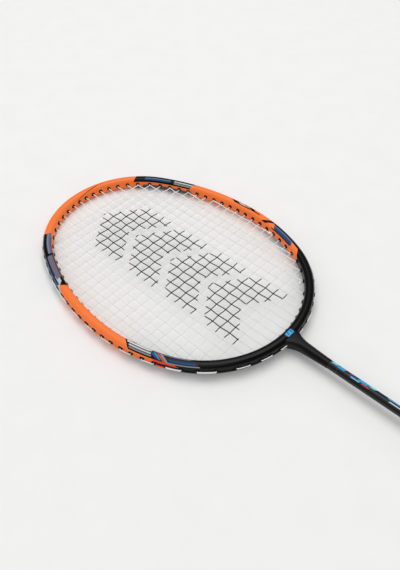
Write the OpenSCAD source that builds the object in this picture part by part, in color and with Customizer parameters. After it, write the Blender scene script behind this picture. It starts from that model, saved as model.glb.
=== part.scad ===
// Strung badminton racket, lying face up along +Y.
// Origin: centre of the butt cap's end face. +Y runs to the head's tip, +Z out of the string bed.

/* [Overall] */
// Length from the butt face to the head's tip
racket_len = 675; // [560:1:820]
// Outer length of the head
head_len = 257; // [220:1:310]
// Outer width of the head
head_w = 192; // [160:1:232]
// Length of the head's lower half, from the throat to its widest line
lower_len = 117; // [100:1:140]

/* [Head tube] */
// Tube size across, in the plane of the strings
tube_w = 8; // [7:0.1:10]
// Tube height, square to the strings
tube_h = 10.8; // [8.6:0.1:13]
// Radius of the tube's rounded corners
tube_round = 3.4; // [2.4:0.1:3.6]
// Laminate thickness
tube_wall = 1.1; // [0.8:0.1:1.4]
// Depth of the string groove round the outside
groove_depth = 0.8; // [0.4:0.1:1]
// Width of the string groove
groove_w = 3.4; // [2.6:0.1:4.2]
// Length of the laps where the laminate's arcs join
lap_len = 0.8; // [0.6:0.1:1.6]
// Extra thickness of a lap, on each face
lap_t = 0.05; // [0.03:0.01:0.1]
// Angle from the widest line at which the tip arc takes over
tip_turn = 28; // [20:1:34]
// Angle from the widest line at which the throat arc takes over
low_turn = 24; // [18:1:32]

/* [Strings] */
// Number of main strings, an even number
mains = 22; // [18:2:22]
// Number of cross strings
crosses = 23; // [19:1:23]
// Distance between main strings
main_gap = 7.9; // [6.6:0.1:8.1]
// Distance between cross strings
cross_gap = 8.9; // [7.4:0.1:9.2]
// String diameter
string_d = 0.8; // [0.6:0.01:0.85]
// Diameter of the wire-like coils of a tie-off knot
knot_d = 0.8; // [0.6:0.01:0.9]

/* [Grommets] */
// Outer diameter of a grommet barrel
barrel_d = 2.8; // [2.6:0.1:3]
// Bore of a grommet
barrel_bore = 1.8; // [1.7:0.05:2]
// Diameter of the grommet's head
grommet_head_d = 3.8; // [3.4:0.1:4]
// Depth of the head's seat below the tube's outer wall
seat_depth = 0.9; // [0.7:0.1:1.2]
// Height of the head above the tube's outer wall
head_proud = 0.6; // [0.1:0.05:0.8]
// Length of barrel that stands out of the inner wall
barrel_tip = 1; // [0.4:0.1:1.6]

/* [Throat] */
// Length of the throat cone below the head
cone_len = 34; // [24:1:50]
// Half width of the cone where it meets the head
cone_flare = 10; // [8:0.5:12]
// Radius of the hollow curve from the cone out to its flare
cone_curve_r = 18; // [12:1:26]
// Diameter of the cone's lower end
cone_end_d = 8; // [7.8:0.1:10]
// Angle that the T-joint's arms cover, each side
joint_arm = 9; // [6:0.5:14]
// Length of the badge on the throat
badge_len = 4; // [3:0.5:6]
// Width of the badge on the throat
badge_w = 7.4; // [5:0.1:9]
// Thickness of the badges
badge_t = 0.25; // [0.15:0.05:0.5]

/* [Shaft] */
// Shaft diameter
shaft_d = 7; // [6.4:0.1:7.4]
// Shaft bore
shaft_bore = 4.6; // [4.2:0.1:5]
// How far the shaft enters the throat cone
shaft_top_in = 24; // [14:1:28]
// How far the shaft enters the handle
shaft_bottom_in = 90; // [60:1:110]

/* [Handle] */
// Length of the wooden handle core
core_len = 168; // [140:1:200]
// Core size across, in the plane of the strings
core_w = 19.6; // [18:0.1:22]
// Core height, square to the strings
core_h = 22.4; // [18:0.1:25]
// Bevel leg of the eight-sided core
core_bevel = 5.4; // [4:0.1:7]
// Hollow drilled up the core from the butt
hollow_d = 12; // [8:0.5:14]
// Depth of the hollow
hollow_len = 55; // [30:1:70]
// Length of the cone cap between grip and shaft
cap_len = 30; // [20:1:40]
// Top diameter of the cone cap
cap_top_d = 10; // [9:0.1:12]
// Thickness of the padded underlay
underlay_t = 0.6; // [0.3:0.1:1]
// Thickness of the grip wrap
wrap_t = 1.5; // [1:0.1:2.2]
// Width of the tape that closes the grip
tape_w = 18; // [12:1:25]
// Thickness of the closing tape
tape_t = 0.3; // [0.2:0.05:0.5]

/* [Butt cap] */
// Thickness of the cap behind the core
butt_t = 5; // [3.5:0.5:8]
// Length of the skirt that holds the core
skirt_len = 14; // [8:1:20]
// Thickness of the skirt
skirt_t = 1.6; // [1.2:0.1:2.4]
// Width of the flared rim beyond the skirt
rim_flare = 2.2; // [1:0.1:3.5]
// Diameter of the badge in the end face
end_badge_d = 16; // [12:0.5:17]
// Depth that the badge lies below the end face
end_badge_sink = 0.3; // [0.1:0.1:0.8]
// Shank diameter of the cap nails
nail_d = 1.2; // [1:0.1:1.6]
// Length of the cap nails
nail_len = 8; // [6:0.5:9]

/* [Clearances] */
// Gap round glued and seated pieces
fit = 0.05; // [0.03:0.01:0.1]
// Gap between strings that cross
cross_clear = 0.02; // [0.02:0.01:0.06]
// Gap between a string and what it bends over
bend_clear = 0.1; // [0.05:0.01:0.2]

/* [Hidden] */
$fn = 48;
string_sides = 8;
string_r = string_d / 2;
layer_z = (string_d + cross_clear) / 2;
diag = 2 - sqrt(2);

// The head is a four-centred oval: a tip arc, a throat arc and two pairs of side arcs.
upper_len = head_len - lower_len;
y_wide = racket_len - upper_len;
y_throat = racket_len - head_len;
function end_radius(b, turn) =
    (head_w / 2 * sin(turn) - b * (1 - cos(turn))) / (cos(turn) + sin(turn) - 1);
function side_radius(b, turn) =
    (b * cos(turn) - head_w / 2 * (1 - sin(turn))) / (cos(turn) + sin(turn) - 1);
tip_r = end_radius(upper_len, tip_turn);
tip_side_r = side_radius(upper_len, tip_turn);
low_r = end_radius(lower_len, low_turn);
low_side_r = side_radius(lower_len, low_turn);
tip_cy = racket_len - tip_r;
low_cy = y_throat + low_r;
arc_ends = [tip_turn, 180 - tip_turn, 180, 180 + low_turn, 360 - low_turn, 360];

// Place on the rim by the direction t of its outward normal, out from the tube's outer wall.
function upper(t) = sin(t) >= 0;
function turn_of(up) = up ? tip_turn : low_turn;
function end_r(up) = up ? tip_r : low_r;
function side_r(up) = up ? tip_side_r : low_side_r;
function end_cy(up) = up ? tip_cy : low_cy;
function on_end(t) = asin(abs(sin(t))) > turn_of(upper(t));
function arc_r(t) = on_end(t) ? end_r(upper(t)) : side_r(upper(t));
function arc_c(t) = on_end(t) ? [0, end_cy(upper(t))]
    : [sign(cos(t)) * (head_w / 2 - side_r(upper(t))), y_wide];
function rim(t, out) = arc_c(t) + (arc_r(t) + out) * [cos(t), sin(t)];

// Strings bend at these heights over the grommets' inner and outer ends.
bend_in = -(tube_w + barrel_tip + string_r + bend_clear);
bend_out = head_proud + string_r + bend_clear;

// Direction at which a line of constant x or constant y meets the inner bend.
function angle_at_x(x, up) =
    let (r = end_r(up) + bend_in, s = side_r(up), far = abs(x) > r * cos(turn_of(up)),
        a = far ? acos((abs(x) - head_w / 2 + s) / (s + bend_in)) : acos(abs(x) / r),
        t = x < 0 ? 180 - a : a)
    up ? t : -t;
function angle_at_y(y) =
    let (up = y >= y_wide, d = abs(y - y_wide), r = end_r(up) + bend_in,
        c = abs(end_cy(up) - y_wide), far = d > c + r * sin(turn_of(up)),
        a = far ? asin((d - c) / r) : asin(d / (side_r(up) + bend_in)))
    up ? a : -a;

bed_mid = racket_len - head_len / 2;
main_x = [for (i = [0:mains - 1]) (i - (mains - 1) / 2) * main_gap];
cross_t = [for (i = [0:crosses - 1]) angle_at_y(bed_mid + ((crosses - 1) / 2 - i) * cross_gap)];

// A main takes the cross string's hole where one lies within half a gap; otherwise its own.
function near_cross(x, up) =
    let (d = [for (t = cross_t) upper(t) == up ? abs(rim(t, bend_in)[0] - abs(x)) : head_w])
    [min(d), search(min(d), d)[0]];
function is_shared(x, up) = near_cross(x, up)[0] <= main_gap / 2;
function main_t(x, up) = !is_shared(x, up) ? angle_at_x(x, up)
    : let (t = cross_t[near_cross(x, up)[1]]) x < 0 ? 180 - t : t;
function own_t(up) = [for (x = main_x) if (!is_shared(x, up)) angle_at_x(x, up)];
shared_i = [for (up = [true, false]) for (x = main_x)
    if (x > 0 && is_shared(x, up)) near_cross(x, up)[1]];
function in_shared(i) = len([for (k = shared_i) if (k == i) k]) > 0;
side_t = [for (i = [0:crosses - 1]) if (!in_shared(i)) cross_t[i]];
shared_t = [for (i = shared_i) for (t = [cross_t[i], 180 - cross_t[i]]) t];
hole_t = concat(own_t(true), own_t(false), cross_t, [for (t = cross_t) 180 - t]);

// Route of one continuous string: run, through the tube, over the outside, back through.
loop_step = 3;
function loop_points(a, b) =
    let (n = max(1, ceil(abs(b - a) / loop_step)))
    [for (k = [0:n]) rim(a + (b - a) * k / n, bend_out)];
function route(ends) = [for (i = [0:len(ends) - 1])
    let (a = ends[i][0], b = ends[i][1], last = i == len(ends) - 1)
    each concat(i == 0 ? [rim(a, bend_out)] : [], [rim(a, bend_in), rim(b, bend_in)],
        last ? [rim(b, bend_out)] : loop_points(b, ends[i + 1][0]))];
function low_t(x) = 360 + main_t(x, false);
main_ends = [for (i = [0:mains - 1]) let (t = main_t(main_x[i], true), b = low_t(main_x[i]))
    i % 2 == 0 ? [b, t] : [t, b]];
cross_ends = [for (i = [0:crosses - 1]) let (t = cross_t[i])
    i % 2 == 0 ? [180 - t, t] : [t, 180 - t]];

// Handle stations and sections
wrap_grow = underlay_t + wrap_t;
core_y0 = butt_t + fit;
core_y1 = core_y0 + core_len;
skirt_y1 = butt_t + skirt_len;
grip_y0 = skirt_y1 + fit;
cap_y0 = core_y1 + fit;
cap_y1 = cap_y0 + cap_len;
shaft_y0 = core_y1 - shaft_bottom_in;
cone_y0 = y_throat - cone_len;
shaft_y1 = cone_y0 + shaft_top_in;
tack_pin_d = 0.9;
tack_len = 5;
tack_head_d = 3.6;
tack_y = grip_y0 + 6;
cone_side = 0.4;
curve_rise = sqrt(pow(cone_curve_r, 2) - pow(cone_curve_r + cone_side - cone_flare + cone_end_d / 2, 2));
nail_head_d = 2.4;
nail_head_t = 0.5;
nail_y = butt_t + skirt_len / 2;
blade_w = 3.2;
blade_h = 6.4;
channel_h = 4.4;
end_face_w = core_w + 2 * (skirt_t + rim_flare);
end_face_h = core_h + 2 * (skirt_t + rim_flare);

module along_y(y) translate([0, y, 0]) rotate([-90, 0, 0]) children();

module at_rim(t) {
    p = rim(t, 0);
    translate([p[0], p[1], 0]) rotate([0, 0, t]) rotate([0, 90, 0]) children();
}

module round_rect(w, h, r) {
    square([w - 2 * r, h], center = true);
    square([w, h - 2 * r], center = true);
    for (x = [-1, 1], y = [-1, 1]) translate([x * (w / 2 - r), y * (h / 2 - r)]) circle(r);
}

// Eight-sided section of the handle core, grown outward by g
module octagon(g) {
    w = core_w / 2 + g;
    h = core_h / 2 + g;
    b = core_bevel + g * diag;
    polygon([[w, h - b], [w - b, h], [b - w, h], [-w, h - b], [-w, b - h], [b - w, -h],
        [w - b, -h], [w, b - h]]);
}

module grip_layer(y0, y1, inner, outer)
    along_y(y0) linear_extrude(y1 - y0) difference() {
        octagon(outer);
        octagon(inner);
    }

// Tube section, its centre tube_w / 2 inside the outer wall at the origin
module tube_void(gap) {
    w = tube_w - groove_depth - 2 * (tube_wall + gap);
    translate([-tube_wall - gap - groove_depth - w / 2, 0])
        round_rect(w, tube_h - 2 * (tube_wall + gap), tube_round - tube_wall);
}

// Section of the tube's wall, made thicker by g on both faces
module tube_section(g) {
    groove_r = (groove_w * groove_w / 4 + groove_depth * groove_depth) / (2 * groove_depth);
    difference() {
        translate([-tube_w / 2, 0]) round_rect(tube_w + 2 * g, tube_h + 2 * g, tube_round + g);
        translate([groove_r - groove_depth + g, 0]) circle(groove_r);
        tube_void(g);
    }
}

// Sweeps the child section round the rim from direction a to b, which share one arc
module rim_sweep(a, b) {
    m = (a + b) / 2;
    c = arc_c(m);
    translate([c[0], c[1], 0]) rotate([0, 0, a]) rotate_extrude(angle = b - a, $fn = 180)
        translate([arc_r(m), 0]) children();
}

// Stepped holes for grommets
module string_bores(angles) for (t = angles) at_rim(t) rotate_extrude()
    polygon([[0, -tube_w - 1], [barrel_d / 2 + fit, -tube_w - 1],
        [barrel_d / 2 + fit, -seat_depth], [grommet_head_d / 2 + fit, -seat_depth],
        [grommet_head_d / 2 + fit, 1], [0, 1]]);

module blade_slot(gap)
    translate([0, y_throat, 0])
        cube([blade_w + 2 * gap, 2 * (groove_depth + tube_wall + 1), blade_h + 2 * gap], center = true);

// One arc of the head tube, just short of the laps at its ends
module tube_arc(i) {
    a = arc_ends[i];
    b = i < len(arc_ends) - 1 ? arc_ends[i + 1] : arc_ends[0] + 360;
    short = lap_len / 8 / arc_r((a + b) / 2) * 180 / PI;
    rim_sweep(a + short, b - short) tube_section(0);
}

// Lap in the laminate that joins two arcs
module lap(t) at_rim(t) rotate([-90, 0, 0]) translate([0, 0, -lap_len / 2])
    rotate([0, 0, -90]) linear_extrude(lap_len) tube_section(lap_t);

module head_tube() color("darkorange") difference() {
    union() {
        for (i = [0:len(arc_ends) - 1]) tube_arc(i);
        for (t = arc_ends) lap(t);
    }
    string_bores(hole_t);
    blade_slot(fit);
}

// Arms inside the head tube, a blade through its wall and a peg in the shaft
module t_joint() color("silver") difference() {
    peg_top = y_throat - 4;
    union() {
        rim_sweep(270 - joint_arm, 270 + joint_arm) tube_void(fit);
        translate([-blade_w / 2, peg_top, -blade_h / 2])
            cube([blade_w, tube_wall + groove_depth + 5, blade_h]);
        along_y(shaft_y1 - 10) cylinder(d = shaft_bore - 2 * fit, h = peg_top - shaft_y1 + 12);
    }
    string_bores([for (t = own_t(false)) if (abs(t + 90) < joint_arm + 3) t]);
}

module throat_cone() color("black") difference() {
    intersection() {
        along_y(cone_y0) rotate_extrude() polygon([[0, 0], [cone_end_d / 2, 0],
            [cone_end_d / 2, cone_len * 0.35], [cone_flare + 1, cone_len + 1], [0, cone_len + 1]]);
        translate([0, 0, -tube_h / 2]) linear_extrude(tube_h) difference() {
            translate([-cone_flare, cone_y0]) square([2 * cone_flare, cone_len + 4]);
            for (s = [-1, 1])
                translate([s * (cone_end_d / 2 + cone_side + cone_curve_r), y_throat + 1 - curve_rise])
                    circle(cone_curve_r, $fn = 96);
        }
        rotate([90, 0, 90]) translate([0, 0, -cone_flare])
            linear_extrude(2 * cone_flare) polygon([[cone_y0, -cone_end_d / 2],
                [y_throat + 4, -tube_h / 2 + 0.6], [y_throat + 4, tube_h / 2 - 0.6],
                [cone_y0, cone_end_d / 2]]);
    }
    translate([0, low_cy, -tube_h]) cylinder(r = low_r + fit, h = 2 * tube_h, $fn = 360);
    translate([0, low_cy, -channel_h / 2])
        cylinder(r = low_r + bend_out + string_r + bend_clear, h = channel_h, $fn = 360);
    blade_slot(fit);
    along_y(cone_y0 - 1) cylinder(d = shaft_d + 2 * fit, h = shaft_top_in + 1 + fit);
    along_y(shaft_y1 - 1) cylinder(d = blade_h + 1.2, h = y_throat - shaft_y1);
}

module throat_badge() color("deepskyblue")
    translate([-badge_w / 2, y_throat + 0.3 * (tube_w - badge_len), tube_h / 2 + fit])
        cube([badge_w, badge_len, badge_t]);

module shaft() color("dimgray") along_y(shaft_y0) difference() {
    cylinder(d = shaft_d, h = shaft_y1 - shaft_y0);
    translate([0, 0, -1]) cylinder(d = shaft_bore, h = shaft_y1 - shaft_y0 + 2);
}

module grommets(angles) color("black") for (t = angles) at_rim(t)
    rotate_extrude() polygon([[barrel_bore / 2, -tube_w - barrel_tip],
        [barrel_d / 2, -tube_w - barrel_tip], [barrel_d / 2, -seat_depth],
        [grommet_head_d / 2, -seat_depth], [grommet_head_d / 2, head_proud],
        [barrel_bore / 2, head_proud]]);

module top_grommets() grommets(own_t(true));
module throat_grommets() grommets(own_t(false));
module right_grommets() grommets(side_t);
module left_grommets() grommets([for (t = side_t) 180 - t]);
module shared_grommets() grommets(shared_t);

// One string swept along a route that lies at height z, with mitred corners
module swept_string(points, z) {
    n = len(points);
    function unit(v) = v / norm(v);
    function ring_side(i) =
        let (a = unit(points[max(i, 1)] - points[max(i, 1) - 1]),
            b = unit(points[min(i + 1, n - 1)] - points[min(i + 1, n - 1) - 1]),
            m = unit(a + b))
        [m[1], -m[0]] / (a * m);
    rings = [for (i = [0:n - 1]) let (s = ring_side(i)) for (k = [0:string_sides - 1])
        let (w = 360 * k / string_sides, q = points[i] + s * string_r * cos(w))
        [q[0], q[1], z + string_r * sin(w)]];
    walls = [for (i = [0:n - 2]) for (k = [0:string_sides - 1])
        let (a = i * string_sides, b = a + string_sides, j = (k + 1) % string_sides)
        [a + k, a + j, b + j, b + k]];
    polyhedron(points = rings, faces = concat(walls, [[for (k = [string_sides - 1:-1:0]) k],
        [for (k = [0:string_sides - 1]) (n - 1) * string_sides + k]]));
}

module main_string() color("white") swept_string(route(main_ends), layer_z);
module cross_string() color("whitesmoke") swept_string(route(cross_ends), -layer_z);

// Two coils round a string just inside the hole where it ends
module knot(hole, other, z) {
    a = rim(hole, bend_in);
    d = rim(other, bend_in) - a;
    start = 3 * string_d;
    translate([a[0], a[1], z]) rotate([0, 0, atan2(d[1], d[0])]) rotate([0, 90, 0])
        for (k = [0, 1]) translate([0, 0, start + k * (knot_d + cross_clear)]) rotate_extrude()
            translate([string_r + cross_clear + knot_d / 2, 0]) circle(d = knot_d);
}

module string_knots() color("white") {
    for (e = [main_ends[0], [main_ends[mains - 1][1], main_ends[mains - 1][0]]])
        knot(e[0], e[1], layer_z);
    for (e = [cross_ends[0], [cross_ends[crosses - 1][1], cross_ends[crosses - 1][0]]])
        knot(e[0], e[1], -layer_z);
}

module handle_core() color("burlywood") difference() {
    along_y(core_y0) linear_extrude(core_len) octagon(0);
    along_y(shaft_y0 - fit) cylinder(d = shaft_d + 2 * fit, h = shaft_bottom_in + 1);
    along_y(core_y0 - 1) cylinder(d = hollow_d, h = hollow_len + 1);
    nail_pair(fit);
    tack(fit);
}

module cone_cap() color("black") along_y(cap_y0) difference() {
    r0 = core_w / 2 + wrap_grow;
    rotate_extrude() polygon([[shaft_d / 2 + fit, 0], [r0, 0], [r0, 3],
        [cap_top_d / 2 + 0.8, cap_len - 1], [cap_top_d / 2, cap_len], [shaft_d / 2 + fit, cap_len]]);
    translate([0, 0, -1]) rotate_extrude() polygon([[0, 0], [r0 - 3, 0], [r0 - 3, 3],
        [shaft_d / 2 + 1.4, cap_len - 10], [0, cap_len - 10]]);
}

module grip_underlay() color("lightgray") difference() {
    grip_layer(grip_y0, core_y1, fit, underlay_t);
    tack(fit);
}

module grip_wrap() color("black")
    grip_layer(grip_y0, core_y1, underlay_t + fit, wrap_grow);

module tack(gap) translate([0, tack_y, core_h / 2 + fit]) {
    cylinder(d = tack_head_d + 2 * gap, h = underlay_t - 2 * fit + gap);
    translate([0, 0, -tack_len]) cylinder(d = tack_pin_d + 2 * gap, h = tack_len + fit);
}

module grip_tack() color("silver") tack(0);

module closing_tape() color("dimgray")
    grip_layer(core_y1 - tape_w, core_y1, wrap_grow + fit, wrap_grow + tape_t);

module nail_pair(gap) for (s = [0, 180]) rotate([0, s, 0])
    translate([core_w / 2 + fit + skirt_t, nail_y, 0]) rotate([0, -90, 0]) {
        cylinder(d = nail_d + 2 * gap, h = nail_len + gap);
        translate([0, 0, -gap]) cylinder(d = nail_head_d + 2 * gap, h = nail_head_t + gap);
    }

module cap_nails() color("silver") nail_pair(0);

module butt_cap() color("black") difference() {
    union() {
        along_y(0) linear_extrude(butt_t) octagon(skirt_t + rim_flare);
        along_y(0) linear_extrude(skirt_y1) octagon(skirt_t + fit);
    }
    along_y(butt_t) linear_extrude(skirt_len + 1) octagon(fit);
    along_y(-1) cylinder(d = end_badge_d + 2 * fit, h = 1 + end_badge_sink + badge_t + fit);
    nail_pair(fit);
}

module butt_badge() color("silver")
    along_y(end_badge_sink) cylinder(d = end_badge_d, h = badge_t);

head_tube();
t_joint();
throat_cone();
throat_badge();
shaft();
top_grommets();
throat_grommets();
left_grommets();
right_grommets();
shared_grommets();
main_string();
cross_string();
string_knots();
handle_core();
cone_cap();
grip_underlay();
grip_wrap();
grip_tack();
closing_tape();
butt_cap();
butt_badge();
cap_nails();
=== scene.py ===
# Strung badminton racket lying on a pale floor.
# Frame: metres, butt end at the origin, +Y to the head's tip, +Z out of the string bed.
import math

import bpy
from mathutils import Matrix, Vector


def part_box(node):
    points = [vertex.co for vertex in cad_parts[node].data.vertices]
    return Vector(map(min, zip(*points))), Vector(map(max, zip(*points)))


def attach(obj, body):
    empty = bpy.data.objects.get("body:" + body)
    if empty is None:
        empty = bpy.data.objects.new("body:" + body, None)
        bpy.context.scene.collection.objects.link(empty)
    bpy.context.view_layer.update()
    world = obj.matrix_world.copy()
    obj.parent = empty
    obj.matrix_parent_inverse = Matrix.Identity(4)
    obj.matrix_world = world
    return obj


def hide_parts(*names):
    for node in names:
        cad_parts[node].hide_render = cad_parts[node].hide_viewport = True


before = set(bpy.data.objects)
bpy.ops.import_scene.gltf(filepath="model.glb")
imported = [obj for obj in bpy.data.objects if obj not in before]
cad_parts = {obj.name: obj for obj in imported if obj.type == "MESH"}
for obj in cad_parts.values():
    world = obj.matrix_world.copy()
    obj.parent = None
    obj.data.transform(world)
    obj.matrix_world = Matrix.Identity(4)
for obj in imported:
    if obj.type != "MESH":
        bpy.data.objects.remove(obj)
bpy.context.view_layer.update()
mm = 0.001


# camera, floor and light

viewpoint = {
    "place": (-0.2471, 0.2799, 0.3623),
    "target": (-0.0058, 0.5085, 0.0),
    "rollDeg": -0.94,
    "lens": 37.43,
}


def addCamera(look):
    data = bpy.data.cameras.new("viewCamera")
    data.lens = look["lens"]
    data.sensor_width = 36
    data.clip_start = 0.01
    camera = bpy.data.objects.new("viewCamera", data)
    place = Vector(look["place"])
    turn = (Vector(look["target"]) - place).to_track_quat("-Z", "Y").to_matrix().to_4x4()
    roll = Matrix.Rotation(math.radians(look["rollDeg"]), 4, "Z")
    camera.matrix_world = Matrix.Translation(place) @ turn @ roll
    bpy.context.collection.objects.link(camera)
    bpy.context.scene.camera = camera


addCamera(viewpoint)

studio = {
    "floorSize": 6.0,
    "floorColour": (0.92, 0.92, 0.915, 1),
    "sky": (1.0, 1.0, 1.0, 1),
    "skyPower": 0.52,
    "skyInGloss": 0.3,
    "keyPlace": (0.5, 1.0, 2.4),
    "keySize": 2.2,
    "keyPower": 29.0,
    "fillPlace": (-1.2, -0.2, 1.9),
    "fillSize": 2.2,
    "fillPower": 7.0,
    "aim": (0.0, 0.52, 0.0),
}


def addAreaLight(name, place, size, power, aim):
    data = bpy.data.lights.new(name, "AREA")
    data.shape = "DISK"
    data.size = size
    data.energy = power
    lamp = bpy.data.objects.new(name, data)
    lamp.location = place
    lamp.rotation_euler = (Vector(aim) - Vector(place)).to_track_quat("-Z", "Y").to_euler()
    bpy.context.collection.objects.link(lamp)


# node helpers

def put(tree, kind, values=None, **settings):
    node = tree.nodes.new(kind)
    for key, value in settings.items():
        setattr(node, key, value)
    for key, value in (values or {}).items():
        if isinstance(value, bpy.types.NodeSocket):
            tree.links.new(value, node.inputs[key])
        else:
            node.inputs[key].default_value = value
    return node


def calc(tree, operation, first, second=0.0, clamp=False):
    node = put(tree, "ShaderNodeMath", {0: first, 1: second}, operation=operation)
    node.use_clamp = clamp
    return node.outputs[0]


def times(tree, first, second, clamp=False):
    return calc(tree, "MULTIPLY", first, second, clamp)


def plus(tree, first, second, clamp=False):
    return calc(tree, "ADD", first, second, clamp)


def minus(tree, first, second):
    return calc(tree, "SUBTRACT", first, second)


def over(tree, first, second):
    return calc(tree, "DIVIDE", first, second)


def objectPlace(tree):
    return put(tree, "ShaderNodeTexCoord").outputs["Object"]


def brushedNoise(tree, scale, detail):
    # noise drawn out into fine lines
    drawn = put(tree, "ShaderNodeMapping", {"Vector": objectPlace(tree), "Scale": scale})
    return put(tree, "ShaderNodeTexNoise",
               {"Scale": 1.0, "Detail": detail, "Vector": drawn.outputs[0]}).outputs[0]


def blendColour(tree, factor, under, upper):
    node = put(tree, "ShaderNodeMix", data_type="RGBA")
    for index, value in ((0, factor), (6, under), (7, upper)):
        if isinstance(value, bpy.types.NodeSocket):
            tree.links.new(value, node.inputs[index])
        else:
            node.inputs[index].default_value = value
    return node.outputs[2]


def ramp(tree, value, low, high, bottom=0.0, top=1.0):
    node = put(tree, "ShaderNodeMapRange",
               {"Value": value, "From Min": low, "From Max": high, "To Min": bottom, "To Max": top})
    node.clamp = True
    return node.outputs["Result"]


def within(tree, value, low, high, soft):
    # 1 between two limits, with soft edges
    return times(tree, ramp(tree, value, low - soft, low + soft),
                 ramp(tree, value, high + soft, high - soft))


def newGroup(name, inputs, outputs):
    tree = bpy.data.node_groups.new(name, "ShaderNodeTree")
    for label, kind, value in inputs:
        socket = tree.interface.new_socket(label, in_out="INPUT", socket_type=kind)
        if value is not None:
            socket.default_value = value
    for label, kind in outputs:
        tree.interface.new_socket(label, in_out="OUTPUT", socket_type=kind)
    return tree, tree.nodes.new("NodeGroupInput").outputs, tree.nodes.new("NodeGroupOutput").inputs


def useGroup(tree, group, values):
    node = put(tree, "ShaderNodeGroup")
    node.node_tree = group
    for key, value in values.items():
        if isinstance(value, bpy.types.NodeSocket):
            tree.links.new(value, node.inputs[key])
        else:
            node.inputs[key].default_value = value
    return node.outputs


def srgb(red, green, blue):
    def linear(c):
        c = c / 255
        return c / 12.92 if c <= 0.04045 else ((c + 0.055) / 1.055) ** 2.4
    return (linear(red), linear(green), linear(blue), 1.0)


# shared effects

def makeGrainGroup():
    # fine mottling of a surface: a value round 1 for colour and a height for bump
    tree, given, out = newGroup(
        "fineGrain",
        [("Scale", "NodeSocketFloat", 900.0), ("Contrast", "NodeSocketFloat", 0.1)],
        [("Shade", "NodeSocketFloat"), ("Height", "NodeSocketFloat")])
    where = objectPlace(tree)
    small = put(tree, "ShaderNodeTexNoise", {"Vector": where, "Scale": given["Scale"], "Detail": 4.0})
    slowScale = times(tree, given["Scale"], 0.04)
    broad = put(tree, "ShaderNodeTexNoise", {"Vector": where, "Scale": slowScale, "Detail": 2.0})
    both = plus(tree, small.outputs[0], broad.outputs[0])
    centred = minus(tree, both, 1.0)
    tree.links.new(plus(tree, times(tree, centred, given["Contrast"]), 1.0), out["Shade"])
    tree.links.new(small.outputs[0], out["Height"])
    return tree


def makeScuffGroup():
    # sparse scratches and rubbed spots, 0 where the surface is clean
    tree, given, out = newGroup(
        "handlingScuffs",
        [("Scale", "NodeSocketFloat", 60.0), ("Amount", "NodeSocketFloat", 0.3)],
        [("Mask", "NodeSocketFloat")])
    where = objectPlace(tree)
    drawn = put(tree, "ShaderNodeMapping", {"Vector": where, "Rotation": (0.3, 0.2, 0.7),
                                            "Scale": (1.0, 7.0, 1.0)})
    hair = put(tree, "ShaderNodeTexNoise",
               {"Vector": drawn.outputs[0], "Scale": given["Scale"], "Detail": 6.0, "Roughness": 0.7})
    patch = put(tree, "ShaderNodeTexNoise", {"Vector": where, "Scale": 25.0, "Detail": 3.0})
    lines = ramp(tree, hair.outputs[0], 0.62, 0.7)
    spots = ramp(tree, patch.outputs[0], 0.5, 0.66)
    both = times(tree, lines, spots)
    tree.links.new(times(tree, both, given["Amount"], clamp=True), out["Mask"])
    return tree


def makeBandGroup():
    # one slanted band of paint on an unrolled surface, with crisp edges
    tree, given, out = newGroup(
        "paintBand",
        [("Along", "NodeSocketFloat", 0.0), ("Around", "NodeSocketFloat", 0.0),
         ("Start", "NodeSocketFloat", 0.0), ("End", "NodeSocketFloat", 0.0),
         ("Low", "NodeSocketFloat", 0.0), ("High", "NodeSocketFloat", 0.0),
         ("Slant", "NodeSocketFloat", 0.0), ("Soft", "NodeSocketFloat", 0.00012)],
        [("Mask", "NodeSocketFloat")])
    rise = minus(tree, given["Around"], given["Low"])
    leaned = minus(tree, given["Along"], times(tree, rise, given["Slant"]))

    def above(value, edge):
        gap = minus(tree, value, edge)
        return plus(tree, over(tree, gap, given["Soft"]), 0.5, clamp=True)

    def below(value, edge):
        gap = minus(tree, edge, value)
        return plus(tree, over(tree, gap, given["Soft"]), 0.5, clamp=True)

    ends = times(tree, above(leaned, given["Start"]), below(leaned, given["End"]))
    sides = times(tree, above(given["Around"], given["Low"]), below(given["Around"], given["High"]))
    tree.links.new(times(tree, ends, sides), out["Mask"])
    return tree


def makeWeaveGroup():
    # plain cloth weave on an unrolled surface
    tree, given, out = newGroup(
        "clothWeave",
        [("Along", "NodeSocketFloat", 0.0), ("Around", "NodeSocketFloat", 0.0),
         ("Pitch", "NodeSocketFloat", 0.001)],
        [("Height", "NodeSocketFloat")])
    turn = over(tree, math.pi, given["Pitch"])
    first = calc(tree, "SINE", times(tree, given["Along"], turn))
    second = calc(tree, "SINE", times(tree, given["Around"], turn))
    crossed = times(tree, first, second)
    tree.links.new(plus(tree, times(tree, crossed, 0.5), 0.5), out["Height"])
    return tree


def makePerforationGroup():
    # rows of small round holes on an unrolled surface, 1 in a hole
    tree, given, out = newGroup(
        "punchedHoles",
        [("Along", "NodeSocketFloat", 0.0), ("Around", "NodeSocketFloat", 0.0),
         ("Pitch", "NodeSocketFloat", 0.003), ("Radius", "NodeSocketFloat", 0.0004)],
        [("Mask", "NodeSocketFloat")])

    def offCentre(value):
        cell = over(tree, value, given["Pitch"])
        return times(tree, minus(tree, calc(tree, "FRACT", cell), 0.5), given["Pitch"])

    x = offCentre(given["Along"])
    y = offCentre(given["Around"])
    square = plus(tree, times(tree, x, x), times(tree, y, y))
    reach = calc(tree, "SQRT", square)
    tree.links.new(ramp(tree, over(tree, reach, given["Radius"]), 1.15, 0.75), out["Mask"])
    return tree


grainGroup = makeGrainGroup()
scuffGroup = makeScuffGroup()
bandGroup = makeBandGroup()
weaveGroup = makeWeaveGroup()
holeGroup = makePerforationGroup()


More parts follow.
